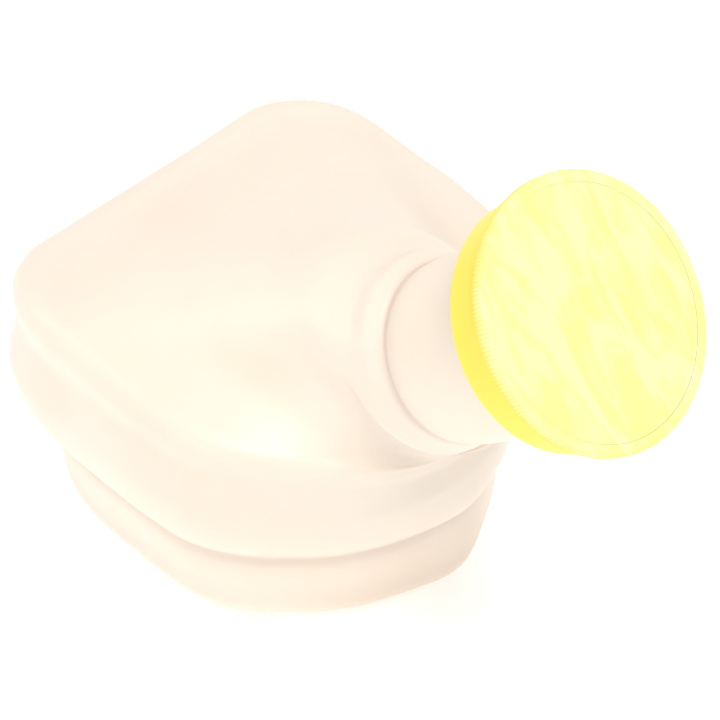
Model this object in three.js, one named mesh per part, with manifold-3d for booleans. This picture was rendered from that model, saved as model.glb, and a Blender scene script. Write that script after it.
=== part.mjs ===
// Angled-neck plastic bottle with a flanged two-start screw cap.
// Millimetres, +Z up. The bottle stands on z = 0 with its base centred on the origin, and the
// neck leans towards +X. The plane y = 0 is the mirror plane of the bottle and its mould parting plane.

import * as THREE from 'three';
import { ParametricGeometry } from 'three/addons/geometries/ParametricGeometry.js';
import { mergeVertices } from 'three/addons/utils/BufferGeometryUtils.js';
import Module from 'manifold-3d';

const wasm = await Module();
wasm.setup();

// ---- Driving dimensions: body ----
const FOOT_HALF = 56;          // half width of the D-shaped plan at the foot band
const WAIST_Z = 26.5;          // height of the moulded crease above the foot band
const CREASE_DEPTH = 0.6;
const BULGE_Z = 44;            // height of the widest ring
const BULGE_HALF = 61;
const SHOULDER_Z = 69;         // height of the raised shoulder edge
const SHOULDER_HALF = 57.2;
const THROAT_X = 60.5;         // where the neck's underside leaves the +X wall
const THROAT_Z = 55;
const CORNER = 0.72;           // corner radius as a share of the half width
const FRONT_ROUNDING = 1.5;    // how far the corners open towards +X and tighten towards -X
const FOOT_CORNER = 0.08;      // added to CORNER round the foot
const FRONT_PINCH = 0.035;     // how far the cheeks beside the +X side are drawn in, as a share
const EAR_LIFT = 2;            // how far the shoulder's two rear corners stand up
const EAR_ANGLE = 2.15;        // where they are, in radians from +X, and how wide
const EAR_SPREAD = 0.24;
const PROW = 3;                // small bow of the foot at the middle of the +X side
const PROW_ANGLE = 0.2;        // its half width in radians
const WALL = 1.8;

// ---- Driving dimensions: neck ----
const NECK_LEAN = 43;          // degrees from vertical
const NECK_X = 55;             // where the neck axis leaves the dome
const NECK_Z = 83;
const NECK_RADIUS = 21.6;
const KNUCKLE = 3.2;           // how far the swelling behind the neck stands proud of it
const FINISH_RADIUS = 24;      // threaded mouth, measured on the thread root
const FINISH_START = 33.5;     // distance up the neck axis where the threaded mouth starts
const LIP = 42.5;              // distance up the neck axis to the lip
const MOUTH_RADIUS = 22;

// ---- Driving dimensions: cap, liner and thread ----
const CAP_TOP = 46.2;          // distance up the neck axis to the cap's outer face
const CAP_HEIGHT = 13.3;
const FLANGE_RADIUS = 30.5;
const FLANGE_THICK = 2.6;
const SKIRT_RADIUS = 28.3;
const CAP_BORE = 26.2;
const TOP_PLATE = 1.8;
const RIM_WIDTH = 2.6;         // flat ring round the cap's face
const FACE_RECESS = 0.5;       // step down from that ring to the face panel
const GAP = 0.3;               // clearance between touching pieces
const LINER_RADIUS = 24.1;
const THREAD_LEAD = 9;         // rise for one turn
const THREAD_STARTS = 2;
const THREAD_HALF_WIDTH = 0.8; // at the root of the ridge
const NECK_THREAD_HEIGHT = 1.3;
const CAP_THREAD_HEIGHT = 1.5;
const THREAD_TURN = 0.6;       // turns covered by each ridge
const THREAD_BASE = 36;        // distance up the neck axis where the neck's ridges begin

const BOTTLE_SEGMENTS = 36;
const CAP_SEGMENTS = 48;
const THREAD_STEPS = 16;

const TURN = 2 * Math.PI;
const lean = THREE.MathUtils.degToRad(NECK_LEAN);
const neckAxis = new THREE.Vector3(Math.sin(lean), 0, Math.cos(lean));

// A station is one ring of the bottle: centre x and z, tilt in degrees, half width,
// corner share (1 is a circle), bow of the +X side, sag of the +X side and width share in Y.
function station(x, z, tilt, half, corner, bow, sag, width = 1) {
  return [x, z, tilt, half, corner, bow, sag, width];
}

// A ring square to the neck axis; back moves it across the axis, away from the front.
function neckStation(along, radius, back = 0) {
  const x = NECK_X + along * neckAxis.x - back * neckAxis.z;
  const z = NECK_Z + along * neckAxis.z + back * neckAxis.x;
  return station(x, z, NECK_LEAN, radius, 1, 0, 0);
}

// A ring that crosses the mirror plane at a back and a front point. The tilt takes up part of
// the drop from back to front, and the rest is sag.
function ringThrough(back, front, tilt, corner, width = 1) {
  const angle = THREE.MathUtils.degToRad(tilt);
  const half = (front[0] - back[0]) / 2 / Math.cos(angle);
  const z = back[1] - half * Math.sin(angle);
  const sag = z - half * Math.sin(angle) - front[1];
  return station((front[0] + back[0]) / 2, z, tilt, half, corner, 0, sag, width);
}

function footStations() {
  const corner = CORNER + FOOT_CORNER;
  return [
    station(1.5, 0, 0, 0, corner, 0, 0),
    station(1.5, 0, 0, FOOT_HALF - 5.6, corner, PROW, 0),
    station(1.5, 1, 0, FOOT_HALF - 2.6, corner, PROW, 0),
    station(1.5, 4, 0, FOOT_HALF - 0.7, corner, PROW, 0),
    station(1.2, 12, 0, FOOT_HALF, corner, PROW, 0),
    station(1, WAIST_Z - 3, 0, FOOT_HALF + 0.6, corner, PROW / 2, 0),
  ];
}

function creaseStation() {
  return station(1, WAIST_Z, 0, FOOT_HALF + 0.6 - CREASE_DEPTH, CORNER + FOOT_CORNER, PROW / 2, 0);
}

function wallStations() {
  const back = 1 - SHOULDER_HALF;
  const rise = THROAT_Z - BULGE_Z;
  return [
    station(1, WAIST_Z + 4, 0, BULGE_HALF - 2.6, CORNER + FOOT_CORNER / 2, PROW / 2, 0),
    station(1, BULGE_Z, 0, BULGE_HALF, CORNER, 0, 0),
    ringThrough([back - 1.3, BULGE_Z + 11], [THROAT_X + 0.7, BULGE_Z + 0.5 * rise], 0, CORNER),
    ringThrough([back + 0.3, SHOULDER_Z - 7.5], [THROAT_X, BULGE_Z + 0.8 * rise], 0, CORNER),
    ringThrough([back, SHOULDER_Z], [THROAT_X, THROAT_Z], 0, CORNER),
    ringThrough([back + 2.8, SHOULDER_Z + 3.6], [THROAT_X, THROAT_Z + 0.8], 0, CORNER),
    ringThrough([back + 6, SHOULDER_Z + 4.6], [THROAT_X + 0.1, THROAT_Z + 1.2], 0, CORNER),
    ringThrough([back + 12, SHOULDER_Z + 4.9], [THROAT_X + 0.3, THROAT_Z + 1.6], 0, CORNER),
  ];
}

function domeStations() {
  return [
    ringThrough([-33, SHOULDER_Z + 7.2], [THROAT_X + 0.6, THROAT_Z + 2], 3, CORNER, 0.97),
    ringThrough([-14, SHOULDER_Z + 11.3], [THROAT_X + 1.6, THROAT_Z + 3], 9, 0.8, 0.9),
    ringThrough([4, SHOULDER_Z + 17.5], [THROAT_X + 3, THROAT_Z + 4.3], 19, 0.9, 0.87),
    ringThrough([17, SHOULDER_Z + 23.5], [THROAT_X + 4.6, THROAT_Z + 5.6], 30, 0.97, 0.92),
    neckStation(-10.5, NECK_RADIUS + KNUCKLE, 0.6 * KNUCKLE),
    neckStation(-5.5, NECK_RADIUS + 0.8 * KNUCKLE, 0.6 * KNUCKLE),
    neckStation(-3, NECK_RADIUS + 0.5 * KNUCKLE, 0.3 * KNUCKLE),
  ];
}

function neckStations() {
  return [
    neckStation(-2.2, NECK_RADIUS),
    neckStation(-1.2, NECK_RADIUS + 0.2),
    neckStation(18, NECK_RADIUS + 0.4),
    neckStation(FINISH_START - 3, NECK_RADIUS + 1.2),
    neckStation(FINISH_START, FINISH_RADIUS),
    neckStation(LIP, FINISH_RADIUS),
  ];
}

const outerStations = [
  ...footStations(),
  creaseStation(),
  ...wallStations(),
  ...domeStations(),
  ...neckStations(),
];

// The inside follows the outside without the crease and the neck's root, one wall thickness in.
const innerStations = [
  ...footStations(),
  ...wallStations(),
  ...domeStations().slice(0, -1),
  neckStation(3, NECK_RADIUS),
  neckStation(18, NECK_RADIUS + 0.4),
  neckStation(LIP, MOUTH_RADIUS + WALL),
];

// Radius of a rounded square at angle phi, rounder on the +X side, with a bow there and the
// cheeks beside it drawn in.
function ringRadius(phi, half, corner, bow) {
  const share = Math.min(1, 1 - (1 - corner) * (1 - FRONT_ROUNDING * Math.cos(phi)));
  const round = share * half;
  const quarter = Math.PI / 2;
  const fromFace = Math.abs(((phi + TURN + quarter / 2) % quarter) - quarter / 2);
  const turn = Math.atan2(Math.sin(phi), Math.cos(phi));
  const cheek = Math.max(0, Math.cos(phi)) * Math.sin(phi) ** 2 * 2.6;
  const pinch = (FRONT_PINCH * half * cheek * (1 - corner)) / (1 - CORNER);
  const extra = bow * Math.exp(-((turn / PROW_ANGLE) ** 2)) - pinch;
  if (fromFace < Math.atan2(half - round, half)) return half / Math.cos(fromFace) + extra;
  const reach = Math.SQRT2 * (half - round);
  const fromCorner = quarter / 2 - fromFace;
  const across = reach * Math.sin(fromCorner);
  return reach * Math.cos(fromCorner) + Math.sqrt(Math.max(0, round * round - across * across)) + extra;
}

// The shoulder's two rear corners stand a little proud, like soft ears.
function earLift(phi, z) {
  const turn = Math.abs(Math.atan2(Math.sin(phi), Math.cos(phi)));
  const near = Math.exp(-(((turn - EAR_ANGLE) / EAR_SPREAD) ** 2));
  return EAR_LIFT * near * Math.exp(-(((z - SHOULDER_Z - 2) / 6) ** 2));
}

// Smooth value between stations, a Catmull-Rom curve through each of the eight numbers.
function stationAt(stations, s) {
  const last = stations.length - 1;
  const i = Math.min(last - 1, Math.floor(s));
  const t = s - i;
  const before = stations[Math.max(0, i - 1)];
  const after = stations[Math.min(last, i + 2)];
  return stations[i].map((p, k) => {
    const q = stations[i + 1][k];
    const curve = (2 * before[k] - 5 * p + 4 * q - after[k]) * t * t;
    const twist = (-before[k] + 3 * p - 3 * q + after[k]) * t * t * t;
    return 0.5 * (2 * p + (q - before[k]) * t + curve + twist);
  });
}

function skinPoint(stations, s, phi, target) {
  const [x, z, tilt, half, corner, bow, sag, width] = stationAt(stations, s);
  const radius = ringRadius(phi, half, corner, bow);
  const angle = THREE.MathUtils.degToRad(tilt);
  const u = radius * Math.cos(phi);
  const dip = sag * ((1 + Math.cos(phi)) / 2) ** 3 - earLift(phi, z);
  const y = radius * width * Math.sin(phi);
  return target.set(x + u * Math.cos(angle), y, z - u * Math.sin(angle) - dip);
}

function innerPoint(s, phi, target) {
  const here = skinPoint(innerStations, s, phi, target);
  if (s <= 1) return here.setZ(here.z + WALL);
  const step = 0.01;
  const top = innerStations.length - 1;
  const sample = (ds, dphi) =>
    skinPoint(innerStations, Math.min(top, s + ds), phi + dphi, new THREE.Vector3());
  const along = sample(step, 0).sub(sample(-step, 0));
  const round = sample(0, step).sub(sample(0, -step));
  const outward = round.cross(along).normalize();
  return here.addScaledVector(outward, -WALL);
}

// Places along the stations where a ring is made: one step over the flat base, then even steps.
function ringPlaces(stations, steps) {
  const places = [0];
  for (let i = 1; i < stations.length - 1; i += 1) {
    for (let j = 0; j < steps; j += 1) places.push(i + j / steps);
  }
  places.push(stations.length - 1);
  return places;
}

// Merges shared corners and drops the triangles that close up to a line at the poles.
function weld(geometry) {
  const bare = geometry.clone();
  bare.deleteAttribute('normal');
  bare.deleteAttribute('uv');
  const merged = mergeVertices(bare, 1e-4);
  const index = merged.getIndex().array;
  const kept = [];
  for (let i = 0; i < index.length; i += 3) {
    const [a, b, c] = [index[i], index[i + 1], index[i + 2]];
    if (a !== b && b !== c && c !== a) kept.push(a, b, c);
  }
  merged.setIndex(kept);
  return merged;
}

function toSolid(geometry) {
  const welded = weld(geometry);
  const vertProperties = new Float32Array(welded.getAttribute('position').array);
  const triVerts = new Uint32Array(welded.getIndex().array);
  return new wasm.Manifold(new wasm.Mesh({ numProp: 3, vertProperties, triVerts }));
}

function toGeometry(solid) {
  const mesh = solid.getMesh();
  const geometry = new THREE.BufferGeometry();
  geometry.setAttribute('position', new THREE.Float32BufferAttribute(mesh.vertProperties, 3));
  geometry.setIndex(Array.from(mesh.triVerts));
  geometry.computeVertexNormals();
  return geometry;
}

// One thread ridge: a helix of trapezoid section that sinks into its wall at both ends.
// root is the wall's radius and crest the ridge's; the helix is right-handed.
function threadRidge(root, crest, along, startAngle) {
  const buried = root + 0.7 * Math.sign(root - crest);
  const corners = [
    [Math.min(buried, crest), -1],
    [Math.max(buried, crest), -1],
    [Math.max(buried, crest), 1],
    [Math.min(buried, crest), 1],
  ];
  const point = (u, v, target) => {
    const [radius, side] = corners[Math.round(u * 4) % 4];
    const atEnd = v <= 0 || v >= 1;
    const narrow = radius === crest ? 0.5 : 1;
    const reach = atEnd ? buried : radius;
    const width = atEnd ? 0 : THREAD_HALF_WIDTH * narrow;
    const angle = startAngle + v * THREAD_TURN * TURN;
    const height = along + v * THREAD_TURN * THREAD_LEAD + side * width;
    return target.set(reach * Math.cos(angle), reach * Math.sin(angle), height);
  };
  return new ParametricGeometry(point, 4, THREAD_STEPS);
}

function threadRidges(root, crest, along) {
  const ridges = [];
  for (let i = 0; i < THREAD_STARTS; i += 1) {
    ridges.push(threadRidge(root, crest, along, (i * TURN) / THREAD_STARTS));
  }
  return ridges;
}

function bottleSkin() {
  const outer = ringPlaces(outerStations, 1);
  const inner = ringPlaces(innerStations, 1).reverse();
  const rings = outer.length + inner.length;
  const point = (u, v, target) => {
    const phi = u * TURN;
    const i = Math.round(v * (rings - 1));
    if (i < outer.length) return skinPoint(outerStations, outer[i], phi, target);
    return innerPoint(inner[i - outer.length], phi, target);
  };
  return new ParametricGeometry(point, BOTTLE_SEGMENTS, rings - 1);
}

function bottleGeometry() {
  const place = new THREE.Matrix4().makeRotationY(lean).setPosition(NECK_X, 0, NECK_Z);
  let solid = toSolid(bottleSkin());
  for (const ridge of threadRidges(FINISH_RADIUS, FINISH_RADIUS + NECK_THREAD_HEIGHT, THREAD_BASE)) {
    solid = solid.add(toSolid(ridge.applyMatrix4(place)));
  }
  return toGeometry(solid);
}

// Turns a profile of (radius, distance along the neck axis) into a round solid.
function turned(profile) {
  const points = profile.map(([radius, along]) => new THREE.Vector2(radius, along));
  return new THREE.LatheGeometry(points, CAP_SEGMENTS).rotateX(Math.PI / 2);
}

function capGeometry() {
  const bottom = CAP_TOP - CAP_HEIGHT;
  const edge = 0.4;
  const shell = turned([
    [0, CAP_TOP - TOP_PLATE],
    [CAP_BORE, CAP_TOP - TOP_PLATE],
    [CAP_BORE, bottom],
    [SKIRT_RADIUS - edge, bottom],
    [SKIRT_RADIUS, bottom + edge],
    [SKIRT_RADIUS, CAP_TOP - FLANGE_THICK],
    [FLANGE_RADIUS - edge, CAP_TOP - FLANGE_THICK],
    [FLANGE_RADIUS, CAP_TOP - FLANGE_THICK + edge],
    [FLANGE_RADIUS, CAP_TOP - edge],
    [FLANGE_RADIUS - edge, CAP_TOP],
    [FLANGE_RADIUS - RIM_WIDTH, CAP_TOP],
    [FLANGE_RADIUS - RIM_WIDTH - FACE_RECESS, CAP_TOP - FACE_RECESS],
    [0, CAP_TOP - FACE_RECESS],
  ]);
  let solid = toSolid(shell);
  const between = THREAD_BASE - THREAD_LEAD / THREAD_STARTS / 2;
  for (const ridge of threadRidges(CAP_BORE, CAP_BORE - CAP_THREAD_HEIGHT, between)) {
    solid = solid.add(toSolid(ridge));
  }
  return toGeometry(solid);
}

function linerGeometry() {
  return turned([
    [0, LIP + GAP],
    [LINER_RADIUS, LIP + GAP],
    [LINER_RADIUS, CAP_TOP - TOP_PLATE - GAP],
    [0, CAP_TOP - TOP_PLATE - GAP],
  ]);
}

function piece(name, geometry, color, roughness) {
  const mesh = new THREE.Mesh(geometry, new THREE.MeshStandardMaterial({ color, roughness, metalness: 0 }));
  mesh.name = name;
  return mesh;
}

const neckFrame = new THREE.Group();
neckFrame.position.set(NECK_X, 0, NECK_Z);
neckFrame.rotation.y = lean;
neckFrame.add(piece('screw_cap', capGeometry(), 0xf8f29a, 0.35));
neckFrame.add(piece('sealing_liner', linerGeometry(), 0xf4f4ee, 0.9));

const assembly = new THREE.Group();
assembly.add(piece('bottle', bottleGeometry(), 0xf8efe4, 0.45));
assembly.add(neckFrame);

export default assembly;
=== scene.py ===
# %% [markdown]
# # A squat bottle with a leaning neck and a screw cap
# The real thing is three pieces: a blow-moulded bottle, a screw cap and a foam disc that seals
# the mouth inside the cap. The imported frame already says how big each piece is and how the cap
# turns. This lesson keeps that frame and builds a finer surface for each piece around it.

# %% Load the frame
import math
import bpy
import numpy as np
from mathutils import Matrix, Vector


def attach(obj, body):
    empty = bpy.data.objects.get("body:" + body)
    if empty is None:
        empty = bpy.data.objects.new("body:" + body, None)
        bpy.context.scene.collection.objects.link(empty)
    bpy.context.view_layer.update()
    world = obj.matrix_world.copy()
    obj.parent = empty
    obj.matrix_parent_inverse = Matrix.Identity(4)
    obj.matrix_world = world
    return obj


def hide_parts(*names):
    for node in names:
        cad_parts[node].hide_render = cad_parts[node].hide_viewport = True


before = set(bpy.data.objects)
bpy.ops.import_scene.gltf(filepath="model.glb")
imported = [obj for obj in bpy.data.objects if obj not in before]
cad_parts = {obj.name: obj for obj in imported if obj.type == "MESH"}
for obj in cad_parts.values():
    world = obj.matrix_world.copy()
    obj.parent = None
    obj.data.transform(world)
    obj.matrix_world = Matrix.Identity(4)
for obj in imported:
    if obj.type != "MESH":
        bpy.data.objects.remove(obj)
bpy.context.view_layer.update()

# %% [markdown]
# ## The camera
# A camera is easiest to place by the point it looks at, how far away it is, and two angles
# round that point. The bottle is seen from well above by a camera held a little tipped,
# so a small roll turns the camera's own right-hand direction towards its up direction.

# %% Place the camera
LOOK_AT = Vector((0.0154, 0.0080, 0.0449))
CAMERA_DISTANCE = 0.4186
CAMERA_AZIMUTH = math.radians(40.5)
CAMERA_ELEVATION = math.radians(46.2)
CAMERA_ROLL = math.radians(2.3)
LENS_MM = 80.0


def place_camera():
    away = Vector((
        math.sin(CAMERA_AZIMUTH) * math.cos(CAMERA_ELEVATION),
        -math.cos(CAMERA_AZIMUTH) * math.cos(CAMERA_ELEVATION),
        math.sin(CAMERA_ELEVATION),
    ))
    level_right = Vector((0, 0, 1)).cross(away).normalized()
    level_up = away.cross(level_right)
    right = level_right * math.cos(CAMERA_ROLL) + level_up * math.sin(CAMERA_ROLL)
    up = away.cross(right)
    data = bpy.data.cameras.new("camera")
    data.lens = LENS_MM
    data.sensor_width = 36.0
    camera = bpy.data.objects.new("camera", data)
    turn = Matrix((right, up, away)).transposed().to_4x4()
    camera.matrix_world = Matrix.Translation(LOOK_AT + away * CAMERA_DISTANCE) @ turn
    bpy.context.scene.collection.objects.link(camera)
    bpy.context.scene.camera = camera
    return camera


print("camera at", [round(v, 4) for v in place_camera().location])

# %% [markdown]
# ## Shader maths as plain expressions
# A node tree is arithmetic on sockets. One small class wraps an output socket and overloads
# the operators, so that `1 - mask` adds its Math node by itself. Every other node comes from
# one method that takes the node's type, its settings, and what its sockets get.


# %% A socket that can be used in arithmetic
class Signal:
    def __init__(self, finish, socket):
        self.finish = finish
        self.socket = socket

    def math(self, operation, first, second=0.5, clamp=False):
        settings = {"operation": operation, "use_clamp": clamp}
        return self.finish.node("ShaderNodeMath", settings, {0: first, 1: second})

    def __add__(self, other):
        return self.math("ADD", self, other)

    __radd__ = __add__

    def __sub__(self, other):
        return self.math("SUBTRACT", self, other)

    def __rsub__(self, other):
        return self.math("SUBTRACT", other, self)

    def __mul__(self, other):
        return self.math("MULTIPLY", self, other)

    __rmul__ = __mul__

    def clamped(self):
        return self.math("ADD", self, 0.0, clamp=True)


# %% A finish: one material and the one way nodes are added to it
class Finish:
    def __init__(self, name):
        self.material = bpy.data.materials.new(name)
        self.material.use_nodes = True
        self.tree = self.material.node_tree
        self.tree.nodes.clear()
        self.count = 0

    def node(self, kind, settings=None, sockets=None, out=0):
        made = self.tree.nodes.new(kind)
        self.count += 1
        for name, value in (settings or {}).items():
            if name == "stops":
                self.set_stops(made.color_ramp, value)
            else:
                setattr(made, name, value)
        for name, value in (sockets or {}).items():
            if isinstance(value, Signal):
                self.tree.links.new(value.socket, made.inputs[name])
            else:
                made.inputs[name].default_value = value
        return Signal(self, made.outputs[out]) if made.outputs else made

    def set_stops(self, ramp, stops):
        while len(ramp.elements) < len(stops):
            ramp.elements.new(1.0)
        for element, (place, grey) in zip(ramp.elements, stops):
            element.position = place
            element.color = (grey, grey, grey, 1.0)

    def noise(self, where, scale, detail=2.0, roughness=0.5, distortion=0.0):
        sockets = {"Vector": where, "Scale": scale, "Detail": detail,
                   "Roughness": roughness, "Distortion": distortion}
        return self.node("ShaderNodeTexNoise", {}, sockets)

    def stretched(self, where, scale, turn=(0.0, 0.0, 0.0)):
        sockets = {"Vector": where, "Scale": scale, "Rotation": turn}
        return self.node("ShaderNodeMapping", {}, sockets)

    def ramp(self, factor, *stops):
        return self.node("ShaderNodeValToRGB", {"stops": stops}, {"Fac": factor})

    def step(self, value, low, high):
        settings = {"interpolation_type": "SMOOTHSTEP", "clamp": True}
        sockets = {"Value": value, "From Min": low, "From Max": high, "To Min": 0.0, "To Max": 1.0}
        return self.node("ShaderNodeMapRange", settings, sockets)

    def blend(self, factor, first, second):
        settings = {"data_type": "RGBA", "clamp_factor": True}
        return self.node("ShaderNodeMix", settings, {0: factor, 6: first, 7: second}, out=2)

    def painted(self, name):
        return self.node("ShaderNodeAttribute", {"attribute_name": name}, {}, out="Fac")

    def finish(self, sockets):
        shader = self.node("ShaderNodeBsdfPrincipled", {}, sockets)
        self.node("ShaderNodeOutputMaterial", {}, {"Surface": shader})
        print(self.material.name, "has", self.count, "nodes")
        return self.material


# %% [markdown]
# ## Floor and light
# The bottle stands on a plain pale floor in very soft, bright light. The sweep is white and
# the surroundings nearly as bright, so the pale plastic keeps only gentle shading. The main
# light comes from above, and the floor glows a little so that the bottle stands on clean white.


# %% Make the floor
FLOOR_HALF, FLOOR_Z, GLOW = 20.0, -0.0002, 0.3


def pale_floor():
    corners = [(x * FLOOR_HALF, y * FLOOR_HALF, FLOOR_Z) for x, y in ((-1, -1), (1, -1), (1, 1), (-1, 1))]
    mesh = bpy.data.meshes.new("floor")
    mesh.from_pydata(corners, [], [(0, 1, 2, 3)])
    floor = bpy.data.objects.new("floor", mesh)
    bpy.context.scene.collection.objects.link(floor)
    paper = Finish("pale floor")
    floor.data.materials.append(paper.finish({
        "Base Color": (0.96, 0.96, 0.955, 1), "Roughness": 0.9, "Specular IOR Level": 0.1,
        "Emission Color": (1.0, 1.0, 1.0, 1), "Emission Strength": GLOW}))
    return floor


print("floor", pale_floor().name)


# %% Light it
WHITE = (1.0, 1.0, 1.0)


def soft_light(name, place, size, watts):
    data = bpy.data.lights.new(name, "AREA")
    data.shape = "DISK"
    data.size = size
    data.energy = watts
    data.color = WHITE
    light = bpy.data.objects.new(name, data)
    light.location = place
    aim = Vector((0, 0, 0.05)) - Vector(place)
    light.rotation_euler = aim.to_track_quat("-Z", "Y").to_euler()
    bpy.context.scene.collection.objects.link(light)


soft_light("key", (0.3, 0.05, 1.15), 0.6, 6.9)
soft_light("fill", (-0.75, -0.55, 1.0), 0.7, 2.2)
soft_light("front", (0.1, -1.1, 0.4), 0.6, 1.5)

world = bpy.data.worlds.new("surroundings")
bpy.context.scene.world = world
world.use_nodes = True
SURROUNDINGS = 0.60
world.node_tree.nodes["Background"].inputs["Color"].default_value = (*WHITE, 1)
world.node_tree.nodes["Background"].inputs["Strength"].default_value = SURROUNDINGS
bpy.context.scene.view_settings.view_transform = "Standard"
print("surroundings at", SURROUNDINGS)

# %% [markdown]
# ## The bottle's skin
# A blow-moulded bottle is one parison blown out against a mould, so its whole skin is one
# smooth sheet. A stack of rings suits it: each ring is a rounded square that grows rounder
# towards the neck's side, the lower rings lie flat and the upper ones tilt over step by step
# until they stand square to the leaning neck. All sizes here are millimetres.

# %% The bottle's driving sizes
MM = 0.001
FOOT_HALF, WAIST_Z, CREASE_DEPTH = 56.0, 26.5, 0.6
BULGE_Z, BULGE_HALF = 44.0, 61.0
SHOULDER_Z, SHOULDER_HALF = 69.0, 57.2
THROAT_X, THROAT_Z = 60.5, 55.0
CORNER, FOOT_CORNER, FRONT_ROUNDING = 0.72, 0.08, 1.5
EAR_LIFT, EAR_ANGLE, EAR_SPREAD = 2.0, 2.15, 0.24
FRONT_PINCH = 0.035
PROW, PROW_ANGLE = 3.0, 0.2
WALL = 1.8
NECK_LEAN, NECK_X, NECK_Z = 43.0, 55.0, 83.0
NECK_RADIUS, KNUCKLE = 21.6, 3.2
FINISH_RADIUS, FINISH_START, LIP, MOUTH_RADIUS = 24.0, 33.5, 42.5, 22.0
THREAD_LEAD, THREAD_STARTS, THREAD_TURN, THREAD_BASE = 9.0, 2, 0.6, 36.0
THREAD_HALF_WIDTH, NECK_THREAD_HEIGHT, CAP_THREAD_HEIGHT = 0.8, 1.3, 1.5
TURN = 2 * math.pi
LEAN = math.radians(NECK_LEAN)


# %% Stations: the rings that set the shape
def neck_station(along, radius, back=0.0):
    """A ring square to the neck, moved back across it."""
    x = NECK_X + along * math.sin(LEAN) - back * math.cos(LEAN)
    z = NECK_Z + along * math.cos(LEAN) + back * math.sin(LEAN)
    return (x, z, NECK_LEAN, radius, 1, 0, 0, 1)


def ring_through(back, front, tilt, corner, width=1.0):
    """A ring that meets the mirror plane at a back and a front point, sagging to reach both."""
    angle = math.radians(tilt)
    half = (front[0] - back[0]) / 2 / math.cos(angle)
    z = back[1] - half * math.sin(angle)
    sag = z - half * math.sin(angle) - front[1]
    return ((front[0] + back[0]) / 2, z, tilt, half, corner, 0, sag, width)


def foot_stations():
    corner = CORNER + FOOT_CORNER
    return [
        (1.5, 0, 0, FOOT_HALF - 5.6, corner, PROW, 0, 1),
        (1.5, 1, 0, FOOT_HALF - 2.6, corner, PROW, 0, 1),
        (1.5, 4, 0, FOOT_HALF - 0.7, corner, PROW, 0, 1),
        (1.2, 12, 0, FOOT_HALF, corner, PROW, 0, 1),
        (1, WAIST_Z - 3, 0, FOOT_HALF + 0.6, corner, PROW / 2, 0, 1),
    ]


def crease_station():
    corner = CORNER + FOOT_CORNER
    return (1, WAIST_Z, 0, FOOT_HALF + 0.6 - CREASE_DEPTH, corner, PROW / 2, 0, 1)


def wall_stations():
    back = 1 - SHOULDER_HALF
    rise = THROAT_Z - BULGE_Z
    return [
        (1, WAIST_Z + 4, 0, BULGE_HALF - 2.6, CORNER + FOOT_CORNER / 2, PROW / 2, 0, 1),
        (1, BULGE_Z, 0, BULGE_HALF, CORNER, 0, 0, 1),
        ring_through((back - 1.3, BULGE_Z + 11), (THROAT_X + 0.7, BULGE_Z + 0.5 * rise), 0, CORNER),
        ring_through((back + 0.3, SHOULDER_Z - 7.5), (THROAT_X, BULGE_Z + 0.8 * rise), 0, CORNER),
        ring_through((back, SHOULDER_Z), (THROAT_X, THROAT_Z), 0, CORNER),
        ring_through((back + 2.8, SHOULDER_Z + 3.6), (THROAT_X, THROAT_Z + 0.8), 0, CORNER),
        ring_through((back + 6, SHOULDER_Z + 4.6), (THROAT_X + 0.1, THROAT_Z + 1.2), 0, CORNER),
        ring_through((back + 12, SHOULDER_Z + 4.9), (THROAT_X + 0.3, THROAT_Z + 1.6), 0, CORNER),
    ]


def dome_stations():
    top, low = SHOULDER_Z, THROAT_Z
    return [
        ring_through((-33, top + 7.2), (THROAT_X + 0.6, low + 2), 3, CORNER, 0.97),
        ring_through((-14, top + 11.3), (THROAT_X + 1.6, low + 3), 9, 0.8, 0.9),
        ring_through((4, top + 17.5), (THROAT_X + 3, low + 4.3), 19, 0.9, 0.87),
        ring_through((17, top + 23.5), (THROAT_X + 3.4, low + 3.2), 30, 0.97, 0.92),
        neck_station(-10, NECK_RADIUS + KNUCKLE, 0.6 * KNUCKLE),
        neck_station(-5.5, NECK_RADIUS + 0.64 * KNUCKLE, 0.5 * KNUCKLE),
        neck_station(-3, NECK_RADIUS + 0.27 * KNUCKLE, 0.17 * KNUCKLE),
    ]


def neck_stations():
    return [
        neck_station(-2.2, NECK_RADIUS),
        neck_station(-1.2, NECK_RADIUS + 0.2),
        neck_station(18, NECK_RADIUS + 0.4),
        neck_station(FINISH_START - 3, NECK_RADIUS + 1.2),
        neck_station(FINISH_START, FINISH_RADIUS),
        neck_station(LIP - 0.6, FINISH_RADIUS),
        neck_station(LIP - 0.15, FINISH_RADIUS - 0.15),
        neck_station(LIP, FINISH_RADIUS - 0.6),
    ]


OUTSIDE = foot_stations() + [crease_station()] + wall_stations() + dome_stations() + neck_stations()
INSIDE = foot_stations() + wall_stations() + dome_stations()[:-1] + [
    neck_station(3, NECK_RADIUS),
    neck_station(18, NECK_RADIUS + 0.4),
    neck_station(LIP - 6, MOUTH_RADIUS + WALL),
    neck_station(LIP, MOUTH_RADIUS + WALL),
]
print(len(OUTSIDE), "outside stations,", len(INSIDE), "inside stations")

# %% [markdown]
# ## From stations to a fine grid
# A smooth curve through the stations gives the rings in between. The stations aren't evenly
# spaced, so each slope is weighted by the distance to its neighbours: an even-step curve would
# ripple beside the crease. Round each ring the points crowd towards the mirror plane, because
# the mould's parting line runs there and is far narrower than anything else on the skin.


# %% Rings between the stations
def station_gaps(stations):
    rows = np.array(stations, float)
    change = np.diff(rows, axis=0)
    swing = np.radians(change[:, 2]) * rows[1:, 3]
    return np.sqrt(change[:, 0] ** 2 + change[:, 1] ** 2 + change[:, 3] ** 2 + swing ** 2) + 0.05


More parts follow.
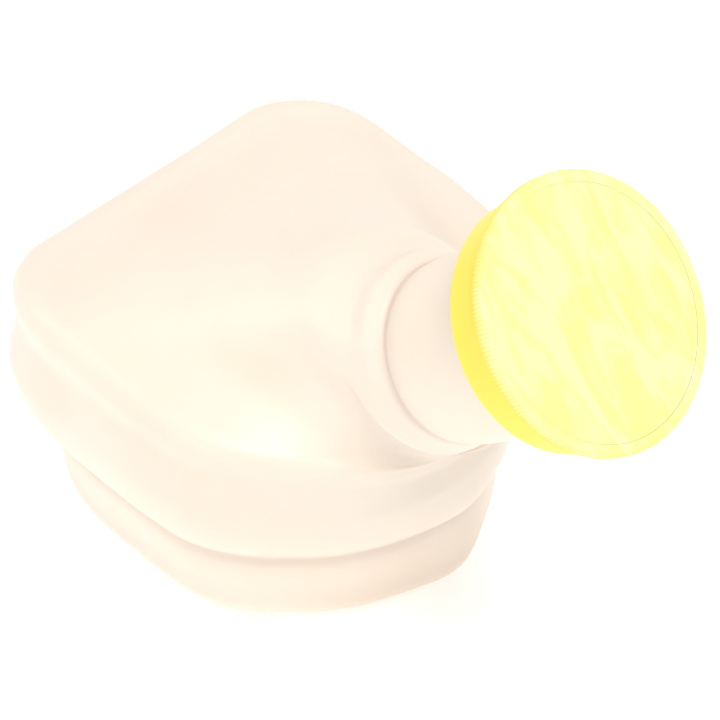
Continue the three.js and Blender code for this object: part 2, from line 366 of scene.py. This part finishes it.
def station_slopes(rows, gaps):
    slopes = np.empty_like(rows)
    steps = np.diff(rows, axis=0) / gaps[:, None]
    before, after = gaps[:-1, None], gaps[1:, None]
    slopes[1:-1] = (steps[:-1] * after + steps[1:] * before) / (before + after)
    slopes[0], slopes[-1] = steps[0], steps[-1]
    return slopes


def fine_rings(stations, spacing):
    """Station values about every spacing mm along the profile."""
    rows = np.array(stations, float)
    gaps = station_gaps(stations)
    slopes = station_slopes(rows, gaps)
    rings = []
    for i, gap in enumerate(gaps):
        count = max(2, math.ceil(gap / spacing(rows[i], rows[i + 1])))
        for t in np.arange(count) / count:
            a, b = 2 * t**3 - 3 * t**2 + 1, t**3 - 2 * t**2 + t
            c, d = -2 * t**3 + 3 * t**2, t**3 - t**2
            rings.append(a * rows[i] + b * gap * slopes[i] + c * rows[i + 1] + d * gap * slopes[i + 1])
    rings.append(rows[-1])
    return np.array(rings)


# %% Points round a ring
ROUND_STEPS = 288
SEAM_CROWDING = 0.86


def seam_angles(steps):
    t = np.arange(steps) * TURN / steps
    return t - SEAM_CROWDING * np.sin(2 * t) / 2


def ring_radius(phi, half, corner, bow):
    """Radius of a rounded square that is rounder on the neck's side."""
    share = np.minimum(1, 1 - (1 - corner) * (1 - FRONT_ROUNDING * np.cos(phi)))
    rounding = share * half
    quarter = math.pi / 2
    from_face = np.abs((phi + quarter / 2) % quarter - quarter / 2)
    from_corner = quarter / 2 - from_face
    reach = math.sqrt(2) * (half - rounding)
    arc = np.sqrt(np.maximum(0, rounding**2 - (reach * np.sin(from_corner)) ** 2))
    curved = reach * np.cos(from_corner) + arc
    flat = half / np.cos(from_face)
    turn = np.arctan2(np.sin(phi), np.cos(phi))
    on_face = from_face < np.arctan2(half - rounding, half)
    cheek = np.maximum(0, np.cos(phi)) * np.sin(phi) ** 2 * 2.6
    pinch = FRONT_PINCH * half * cheek * (1 - corner) / (1 - CORNER)
    return np.where(on_face, flat, curved) - pinch + bow * np.exp(-((turn / PROW_ANGLE) ** 2))


def ear_lift(phi, z):
    """The shoulder's two rear corners stand a little proud, like soft ears."""
    turn = np.abs(np.arctan2(np.sin(phi), np.cos(phi)))
    near = np.exp(-(((turn - EAR_ANGLE) / EAR_SPREAD) ** 2))
    return EAR_LIFT * near * np.exp(-(((z - SHOULDER_Z - 2) / 6) ** 2))


def skin_grid(rings, phi):
    """Points of every ring at every angle, as an array of rings by angles by xyz."""
    x, z, tilt, half, corner, bow, sag, width = (rings[:, k, None] for k in range(8))
    radius = ring_radius(phi[None, :], half, corner, bow)
    across = radius * np.cos(phi)
    dip = sag * ((1 + np.cos(phi)) / 2) ** 3 - ear_lift(phi, z)
    angle = np.radians(tilt)
    out = [x + across * np.cos(angle), radius * width * np.sin(phi), z - across * np.sin(angle) - dip]
    return np.stack(np.broadcast_arrays(*out), axis=2)


def grid_normals(grid):
    """Outward direction at each grid point, from its neighbours."""
    round_ring = np.roll(grid, -1, axis=1) - np.roll(grid, 1, axis=1)
    up_ring = np.gradient(grid, axis=0)
    normal = np.cross(round_ring, up_ring)
    return normal / np.maximum(np.linalg.norm(normal, axis=2, keepdims=True), 1e-9)


def smooth_step(value, low, high):
    t = np.clip((value - low) / (high - low), 0, 1)
    return t * t * (3 - 2 * t)


# %% [markdown]
# ## Relief on the skin
# Blow moulding leaves its marks: a fine raised line where the two mould halves met, a scar on
# the base where they pinched the hot tube shut, and walls that are never quite even. The screw
# thread is part of the same skin. Each is a small push along the normal, so that the bottle
# stays one closed sheet, and each push is real geometry that catches the light.


# %% Where a point lies along and round the neck
def neck_frame(grid):
    """Distance up the neck axis, and angle round it, of each grid point."""
    x, y, z = grid[..., 0] - NECK_X, grid[..., 1], grid[..., 2] - NECK_Z
    along = x * math.sin(LEAN) + z * math.cos(LEAN)
    across = x * math.cos(LEAN) - z * math.sin(LEAN)
    return along, np.arctan2(y, across)


def thread_height(along, angle, base):
    """0 to 1 over the screw's ridges: helices that rise with the angle and fade at their ends."""
    height = np.zeros_like(along)
    rise = THREAD_TURN * THREAD_LEAD
    for start in range(THREAD_STARTS):
        share = ((angle - start * TURN / THREAD_STARTS) % TURN) / (THREAD_TURN * TURN)
        off = np.abs(along - base - np.clip(share, 0, 1) * rise) / THREAD_HALF_WIDTH
        ends = smooth_step(share, 0, 0.05) * (1 - smooth_step(share, 0.95, 1))
        height = np.maximum(height, ends * (1 - smooth_step(off, 0.45, 1.05)))
    return height


# %% Parting line, uneven walls and pinch-off scar
SEAM_HEIGHT, SEAM_WIDTH = 0.05, 0.32
WAVES = (  # height in mm, direction per mm, phase
    (0.16, (0.041, 0.023, 0.030), 0.4), (0.12, (-0.029, 0.057, 0.021), 1.9),
    (0.09, (0.083, -0.035, 0.060), 3.1), (0.06, (0.050, 0.102, -0.071), 5.2),
    (0.04, (-0.130, 0.061, 0.118), 0.9), (0.03, (0.162, 0.149, -0.055), 2.6),
)
SCAR_REACH, SCAR_WIDTH, SCAR_DEPTH = 44.0, 1.3, 0.45


def uneven(grid):
    total = np.zeros(grid.shape[:2])
    for height, direction, phase in WAVES:
        total += height * np.sin(grid @ np.array(direction) + phase)
    return total


def skin_relief(grid):
    along, angle = neck_frame(grid)
    body = 1 - smooth_step(along, FINISH_START - 8, FINISH_START - 2)
    body *= smooth_step(grid[..., 2], 0.5, 9)
    seam = SEAM_HEIGHT * np.exp(-((grid[..., 1] / SEAM_WIDTH) ** 2))
    seam *= smooth_step(grid[..., 2], 0.3, 2.5) * (1 - smooth_step(along, LIP - 1.5, LIP - 0.7))
    thread = NECK_THREAD_HEIGHT * thread_height(along, angle, THREAD_BASE)
    thread *= smooth_step(along, FINISH_START - 0.5, FINISH_START + 0.5)
    return body * uneven(grid) + seam + thread


def base_scar(x, y):
    """Height of the pinch-off mark above the floor: a shallow trough with a ridge down its middle."""
    length = 1 - smooth_step(np.abs(x - 1.5), SCAR_REACH - 5, SCAR_REACH)
    trough = SCAR_DEPTH * np.exp(-((y / SCAR_WIDTH) ** 4))
    ridge = 0.8 * SCAR_DEPTH * np.exp(-((y / (0.3 * SCAR_WIDTH)) ** 2))
    return length * (trough - ridge)


# %% Join rings into one closed mesh
def closed_mesh(name, grid, first, last):
    """A mesh from rings by angles, shut at both ends by a point. Sizes go in as mm, out as m."""
    rings, steps = grid.shape[:2]
    points = np.vstack([grid.reshape(-1, 3), first, last]) * MM
    ring, step = np.meshgrid(np.arange(rings - 1), np.arange(steps), indexing="ij")
    after = (step + 1) % steps
    quads = np.stack([ring * steps + step, ring * steps + after,
                      (ring + 1) * steps + after, (ring + 1) * steps + step], axis=2)
    faces = quads.reshape(-1, 4).tolist()
    low, high = rings * steps, rings * steps + 1
    for k in range(steps):
        faces.append((low, (k + 1) % steps, k))
        faces.append((high, (rings - 1) * steps + k, (rings - 1) * steps + (k + 1) % steps))
    mesh = bpy.data.meshes.new(name)
    mesh.from_pydata(points.tolist(), [], faces)
    mesh.validate()
    mesh.shade_smooth()
    mesh.update()
    return mesh


def paint(mesh, name, values):
    """Stores one number per vertex for a material to read."""
    layer = mesh.attributes.new(name, "FLOAT", "POINT")
    layer.data.foreach_set("value", np.asarray(values, np.float32).ravel())


# %% Build the bottle
# Widths and place of the painted shade: bands along the waist crease and round the neck's root, and a
# patch on each flank of the shoulder.
WAIST_CREASE_WIDTH, ROOT_CREASE_WIDTH, ROOT_ALONG = 1.1, 0.8, -2.2
FLANK_SHADE_PLACE, FLANK_SHADE_REACH = np.array([18.0, 36.0, 74.0]), np.array([17.0, 10.0, 6.0])


def ring_spacing(low, high):
    if low[2] == NECK_LEAN and low[1] > NECK_Z + FINISH_START * math.cos(LEAN) - 0.5:
        return 0.3
    if low[1] < 6 or abs(low[1] - WAIST_Z) < 3.5:
        return 0.5
    if low[2] == NECK_LEAN and low[1] < NECK_Z + 4:
        return 0.6
    return 1.3


def outer_grid(phi):
    grid = skin_grid(fine_rings(OUTSIDE, ring_spacing), phi)
    grid = grid + grid_normals(grid) * skin_relief(grid)[..., None]
    shares = np.linspace(0.03, 1, 40)[:-1]
    middle = np.array([1.5, 0, 0])
    base = middle + (grid[0] - middle) * shares[:, None, None]
    base[..., 2] = base_scar(base[..., 0], base[..., 1])
    return np.concatenate([base, grid])


def inner_grid(phi):
    grid = skin_grid(fine_rings(INSIDE, lambda low, high: 2.2), phi)
    grid = grid - WALL * grid_normals(grid)
    grid[..., 2] = np.maximum(grid[..., 2], WALL)
    grid[0, :, 2] = WALL
    middle = np.array([1.5, 0, WALL])
    base = middle + (grid[0] - middle) * np.linspace(0.05, 1, 8)[:-1, None, None]
    return np.concatenate([base, grid])


def flank_shade_mask(grid):
    """Painted shade: 1 on each flank of the shoulder beside the neck, fading to 0."""
    place = grid * (1, 0, 1) + np.abs(grid) * (0, 1, 0)
    return np.exp(-(((place - FLANK_SHADE_PLACE) / FLANK_SHADE_REACH) ** 2).sum(axis=2))


def build_bottle():
    phi = seam_angles(ROUND_STEPS)
    outer, inner = outer_grid(phi), inner_grid(phi)
    centre_height = base_scar(np.array(1.5), np.array(0.0))
    grid = np.concatenate([outer, inner[::-1]])
    mesh = closed_mesh("bottle_shell", grid, (1.5, 0, centre_height), (1.5, 0, WALL))
    along, _ = neck_frame(grid)
    # Painted shade: a band along the waist crease and one round the neck's root.
    crease = np.exp(-(((grid[..., 2] - WAIST_Z) / WAIST_CREASE_WIDTH) ** 2)) * (along < ROOT_ALONG)
    crease += np.exp(-(((along - ROOT_ALONG) / ROOT_CREASE_WIDTH) ** 2))
    # Painted shade over the whole inner skin.
    inside = np.zeros(grid.shape[:2])
    inside[len(outer):] = 1
    # Painted shade on each flank of the shoulder beside the neck.
    paint(mesh, "thin", np.append(flank_shade_mask(grid).ravel(), (0, 0)))
    paint(mesh, "crease", np.append(crease.ravel(), (0, 0)))
    paint(mesh, "inside", np.append(inside.ravel(), (0, 1)))
    bottle = bpy.data.objects.new("bottle_shell", mesh)
    bpy.context.scene.collection.objects.link(bottle)
    return bottle


bottle_shell = build_bottle()
print("bottle:", len(bottle_shell.data.vertices), "points")

# %% [markdown]
# ## The cap
# The cap is turned round its own axis, so it is drawn as a profile of radius against height
# and swept round. Its rim is cut into fine grip teeth, which only touch the outer edge of the
# flange, and the bore carries the same two-start screw as the neck, half a step lower. The
# object keeps its own axes along the neck, which the material uses later for its flow marks.

# %% The cap's driving sizes
CAP_TOP, CAP_HEIGHT = 46.2, 13.3
FLANGE_RADIUS, FLANGE_THICK = 30.5, 2.6
SKIRT_RADIUS, CAP_BORE = 28.3, 26.2
TOP_PLATE, RIM_WIDTH, FACE_RECESS = 1.8, 2.6, 0.5
DISH = 0.35
GAP, LINER_RADIUS = 0.3, 24.1
TEETH, POINTS_PER_TOOTH, TOOTH_DEPTH = 216, 5, 0.3


# %% Rounding the corners of a profile
def rounded_profile(corners, pieces=4):
    """Corners are (radius, height, rounding in mm). Each corner becomes a short smooth arc."""
    points = []
    for i, (r, z, rounding) in enumerate(corners):
        here = np.array([r, z], float)
        if rounding == 0 or i in (0, len(corners) - 1):
            points.append(here)
            continue
        before = np.array(corners[i - 1][:2], float) - here
        after = np.array(corners[i + 1][:2], float) - here
        a = here + before / np.linalg.norm(before) * rounding
        b = here + after / np.linalg.norm(after) * rounding
        for t in np.arange(pieces + 1) / pieces:
            points.append((1 - t) ** 2 * a + 2 * t * (1 - t) * here + t * t * b)
    return np.array(points)


def spread(points, spacing):
    """Extra points along straight runs, so that relief has something to move."""
    out = []
    for a, b in zip(points[:-1], points[1:]):
        count = max(1, math.ceil(np.linalg.norm(b - a) / spacing(a, b)))
        out += [a + (b - a) * k / count for k in range(count)]
    return np.array(out + [points[-1]])


# %% The cap's profile
def cap_profile():
    bottom = CAP_TOP - CAP_HEIGHT
    under, face = CAP_TOP - FLANGE_THICK, CAP_TOP - FACE_RECESS
    panel = FLANGE_RADIUS - RIM_WIDTH
    return rounded_profile([
        (0.6, CAP_TOP - TOP_PLATE, 0), (CAP_BORE, CAP_TOP - TOP_PLATE, 0.5),
        (CAP_BORE, bottom, 0.35), (SKIRT_RADIUS, bottom, 0.5), (SKIRT_RADIUS, under, 0.5),
        (FLANGE_RADIUS, under, 0.35), (FLANGE_RADIUS, CAP_TOP, 0.45),
        (panel, CAP_TOP, 0.3), (panel - 0.5, face, 0.5), (0.6, face, 0),
    ])


def cap_spacing(a, b):
    on_bore = abs(a[0] - CAP_BORE) < 0.2 and abs(b[0] - CAP_BORE) < 0.2
    return 0.3 if on_bore else 1.2


def tooth_wave(angle):
    phase = (angle * TEETH / TURN) % 1.0
    return 1 - np.abs(2 * phase - 1) ** 1.5


def neck_matrix():
    turn = Matrix(((math.cos(LEAN), 0, math.sin(LEAN)), (0, 1, 0),
                   (-math.sin(LEAN), 0, math.cos(LEAN)))).to_4x4()
    return Matrix.Translation(Vector((NECK_X, 0, NECK_Z)) * MM) @ turn


def swept(profile, steps):
    angle = np.arange(steps) * TURN / steps
    grid = np.empty((len(profile), steps, 3))
    grid[..., 0] = profile[:, 0, None] * np.cos(angle)
    grid[..., 1] = profile[:, 0, None] * np.sin(angle)
    grid[..., 2] = profile[:, 1, None]
    return grid


# %% Build the cap
def build_cap():
    profile = spread(cap_profile(), cap_spacing)
    grid = swept(profile, TEETH * POINTS_PER_TOOTH)
    angle = np.arctan2(grid[..., 1], grid[..., 0])
    radius = np.hypot(grid[..., 0], grid[..., 1])
    height = grid[..., 2].copy()
    edge = smooth_step(radius, FLANGE_RADIUS - 0.7, FLANGE_RADIUS - 0.15)
    pull = -TOOTH_DEPTH * edge * tooth_wave(angle)
    bore = np.abs(radius - CAP_BORE) < 0.1
    lower = THREAD_BASE - THREAD_LEAD / THREAD_STARTS / 2
    pull -= np.where(bore, CAP_THREAD_HEIGHT * thread_height(height, angle, lower), 0)
    grid[..., :2] *= ((radius + pull) / radius)[..., None]
    panel = FLANGE_RADIUS - RIM_WIDTH - 0.5
    on_face = (height > CAP_TOP - TOP_PLATE / 2 - 0.2) & (radius < panel)
    grid[..., 2] -= np.where(on_face, DISH * (1 - (radius / panel) ** 2), 0)
    under, face = CAP_TOP - TOP_PLATE, CAP_TOP - FACE_RECESS - DISH
    mesh = closed_mesh("cap_shell", grid, (0, 0, under), (0, 0, face))
    # Painted light: 1 on the cap's top face, which takes the paler, lit colour.
    top = smooth_step(height, CAP_TOP - FLANGE_THICK, CAP_TOP - 0.8)
    paint(mesh, "top", np.append(top.ravel(), (0, 1)))
    # How deep each groove between the teeth is cut, for the shade painted into it.
    paint(mesh, "teeth", np.append((edge * tooth_wave(angle)).ravel(), (0, 0)))
    cap = bpy.data.objects.new("cap_shell", mesh)
    cap.matrix_world = neck_matrix()
    bpy.context.scene.collection.objects.link(cap)
    return cap


cap_shell = build_cap()
print("cap:", len(cap_shell.data.vertices), "points,", TEETH, "grip teeth")

# %% [markdown]
# ## The sealing liner
# A disc of closed-cell foam lies in the cap and is squeezed on the bottle's lip. It never
# springs back quite flat, so a shallow ring shows where the lip presses. That ring is cut in
# the mesh, since it is seen as soon as the cap is off.

# %% Build the liner
DENT = 0.16


def build_liner():
    low, high = LIP + GAP, CAP_TOP - TOP_PLATE - GAP
    corners = [(0.6, low, 0), (LINER_RADIUS, low, 0.3), (LINER_RADIUS, high, 0.3), (0.6, high, 0)]
    grid = swept(spread(rounded_profile(corners), lambda a, b: 0.4), 192)
    radius = np.hypot(grid[..., 0], grid[..., 1])
    pressed = smooth_step(radius, 21.5, 22.1) * (1 - smooth_step(radius, 23.3, 23.9))
    grid[..., 2] += np.where(grid[..., 2] < low + 0.1, DENT * pressed, 0)
    mesh = closed_mesh("liner_disc", grid, (0, 0, low), (0, 0, high))
    paint(mesh, "pressed", np.append(pressed.ravel(), (0, 0)))
    liner = bpy.data.objects.new("liner_disc", mesh)
    liner.matrix_world = neck_matrix()
    bpy.context.scene.collection.objects.link(liner)
    return liner


liner_disc = build_liner()
print("liner:", len(liner_disc.data.vertices), "points")

# %% [markdown]
# ## Milky polyethylene
# The bottle's plastic is neither clear nor white: light enters it, scatters and comes out a
# little warmer. Subsurface scattering does that. Shade is painted into the colour on the
# shoulder's flanks beside the neck, along the waist crease and the neck's root, and over the
# whole inner skin. On top, noise of three sizes gives what a close look shows: cloudy thick and
# thin places, faint streaks drawn along the parison, and the fine orange-peel of a sand-blasted
# mould.


# %% Mix the bottle's plastic
def milky_plastic():
    milk = Finish("milky polyethylene")
    where = milk.node("ShaderNodeTexCoord", {}, {}, out="Object")
    cloud = milk.noise(where, 22.0, detail=3.0)
    drawn = milk.noise(milk.stretched(where, (260.0, 260.0, 14.0)), 1.0, detail=2.0)
    peel = milk.noise(where, 1100.0, detail=1.0)
    scuff = milk.noise(milk.stretched(where, (90.0, 420.0, 160.0), (0.3, 0.5, 0.9)), 1.0, 4.0, 0.7)
    crease, inside = milk.painted("crease"), milk.painted("inside")
    thin = milk.painted("thin")
    # Cloud and streak noise give the wall's own uneven tone; the flank mark adds painted shade.
    wall_tone_and_flank_shade = milk.step(cloud, 0.35, 0.7) * 0.35 + drawn * 0.12 + thin * 0.45
    # Painted shade deepens the colour in the creases and over the whole inner skin.
    tone_and_shade = (wall_tone_and_flank_shade + crease * 0.3 + inside * 0.25).clamped()
    colour = milk.blend(tone_and_shade, (0.99, 0.83, 0.69, 1), (0.96, 0.72, 0.55, 1))
    rubbed = milk.ramp(scuff, (0.58, 0.0), (0.72, 1.0))
    roughness = 0.34 + cloud * 0.12 + rubbed * 0.1
    relief = peel * 0.5 + drawn * 0.9 + rubbed * 0.12
    normal = milk.node("ShaderNodeBump", {}, {"Strength": 0.35, "Distance": 0.00006, "Height": relief})
    return milk.finish({
        "Base Color": colour, "Roughness": roughness, "Normal": normal, "IOR": 1.5,
        "Subsurface Weight": 0.3, "Subsurface Radius": (1.0, 0.72, 0.5), "Subsurface Scale": 0.009,
    })


bottle_shell.data.materials.append(milky_plastic())

# %% [markdown]
# ## Yellow cap plastic
# The cap is injection moulded from one gate, and the flowing melt freezes in long bent
# streaks that show on the flat panel as slightly paler and glossier bands. The top face is
# painted paler than the skirt: partly painted light, with the face lit and the skirt in shade,
# and partly the thin panel letting light through to the white liner.


# %% Mix the cap's plastic
def cap_plastic():
    lemon = Finish("lemon polyethylene")
    where = lemon.node("ShaderNodeTexCoord", {}, {}, out="Object")
    bent = lemon.noise(where, 45.0, detail=1.0)
    lane = lemon.stretched(where, (40.0, 150.0, 30.0), (0.0, 0.0, 0.75))
    flow = lemon.noise(lane, 1.0, detail=3.0, roughness=0.55, distortion=1.3)
    streak = lemon.step(flow + bent * 0.25, 0.5, 0.72)
    grain = lemon.noise(where, 1500.0, detail=1.0)
    top, teeth = lemon.painted("top"), lemon.painted("teeth")
    skirt = lemon.blend(bent, (0.93, 0.75, 0.06, 1), (0.94, 0.81, 0.09, 1))
    panel = lemon.blend(streak, (0.93, 0.90, 0.32, 1), (0.945, 0.93, 0.47, 1))
    # Painted light and shade: the top face paler as lit, the skirt deeper as shaded, partly the thin
    # panel over the white liner.
    colour = lemon.blend(top, skirt, panel)
    # Painted shade in the grooves between the grip teeth.
    colour = lemon.blend(teeth * 0.35, colour, (0.86, 0.68, 0.06, 1))
    roughness = 0.36 - streak * 0.08 + grain * 0.06
    relief = flow * 1.0 + grain * 0.12
    normal = lemon.node("ShaderNodeBump", {}, {"Strength": 0.4, "Distance": 0.0002, "Height": relief})
    return lemon.finish({
        "Base Color": colour, "Roughness": roughness, "Normal": normal, "IOR": 1.5,
        "Subsurface Weight": 0.25, "Subsurface Radius": (1.0, 0.8, 0.25), "Subsurface Scale": 0.004,
    })


cap_shell.data.materials.append(cap_plastic())

# %% [markdown]
# ## Closed-cell foam
# The liner is foam with cells of about a third of a millimetre. A cell pattern drives the bump
# and paints shade into the bottom of each cell; where the lip has pressed, the cells are squeezed
# flat, so less shade is painted and the surface turns a little smoother.


# %% Mix the liner's foam
def liner_foam():
    foam = Finish("closed-cell foam")
    where = foam.node("ShaderNodeTexCoord", {}, {}, out="Object")
    cells = foam.node("ShaderNodeTexVoronoi", {}, {"Vector": where, "Scale": 2800.0}, out="Distance")
    tone = foam.noise(where, 160.0, detail=2.0)
    pressed = foam.painted("pressed")
    # Painted shade in the bottom of each cell, less where the lip pressed the cells flat; tone is the
    # foam's own uneven colour.
    open_cells = cells * (1 - pressed * 0.7)
    tone_and_shade = (open_cells * 0.6 + tone * 0.3).clamped()
    colour = foam.blend(tone_and_shade, (0.90, 0.90, 0.87, 1), (0.76, 0.76, 0.73, 1))
    roughness = 0.92 - pressed * 0.25
    bump = {"Strength": 0.6, "Distance": 0.00015, "Height": 1 - open_cells}
    normal = foam.node("ShaderNodeBump", {}, bump)
    return foam.finish({"Base Color": colour, "Roughness": roughness, "Normal": normal})


liner_disc.data.materials.append(liner_foam())

# %% [markdown]
# ## Tie the pieces to the frame
# Each fine piece stands in for one plain solid of the frame and moves with that solid's body:
# the bottle stays, the liner rises with the cap, and the cap rises and turns.

# %% Ride and replace
for piece, body, node, finish_slot in (
    (bottle_shell, "bottle_body", "bottle", "bottle_plastic"),
    (cap_shell, "cap_body", "screw_cap", "cap_plastic"),
    (liner_disc, "liner_body", "sealing_liner", "liner_foam"),
):
    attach(piece, body)
    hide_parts(node)
    print(piece.name, "rides on", body)
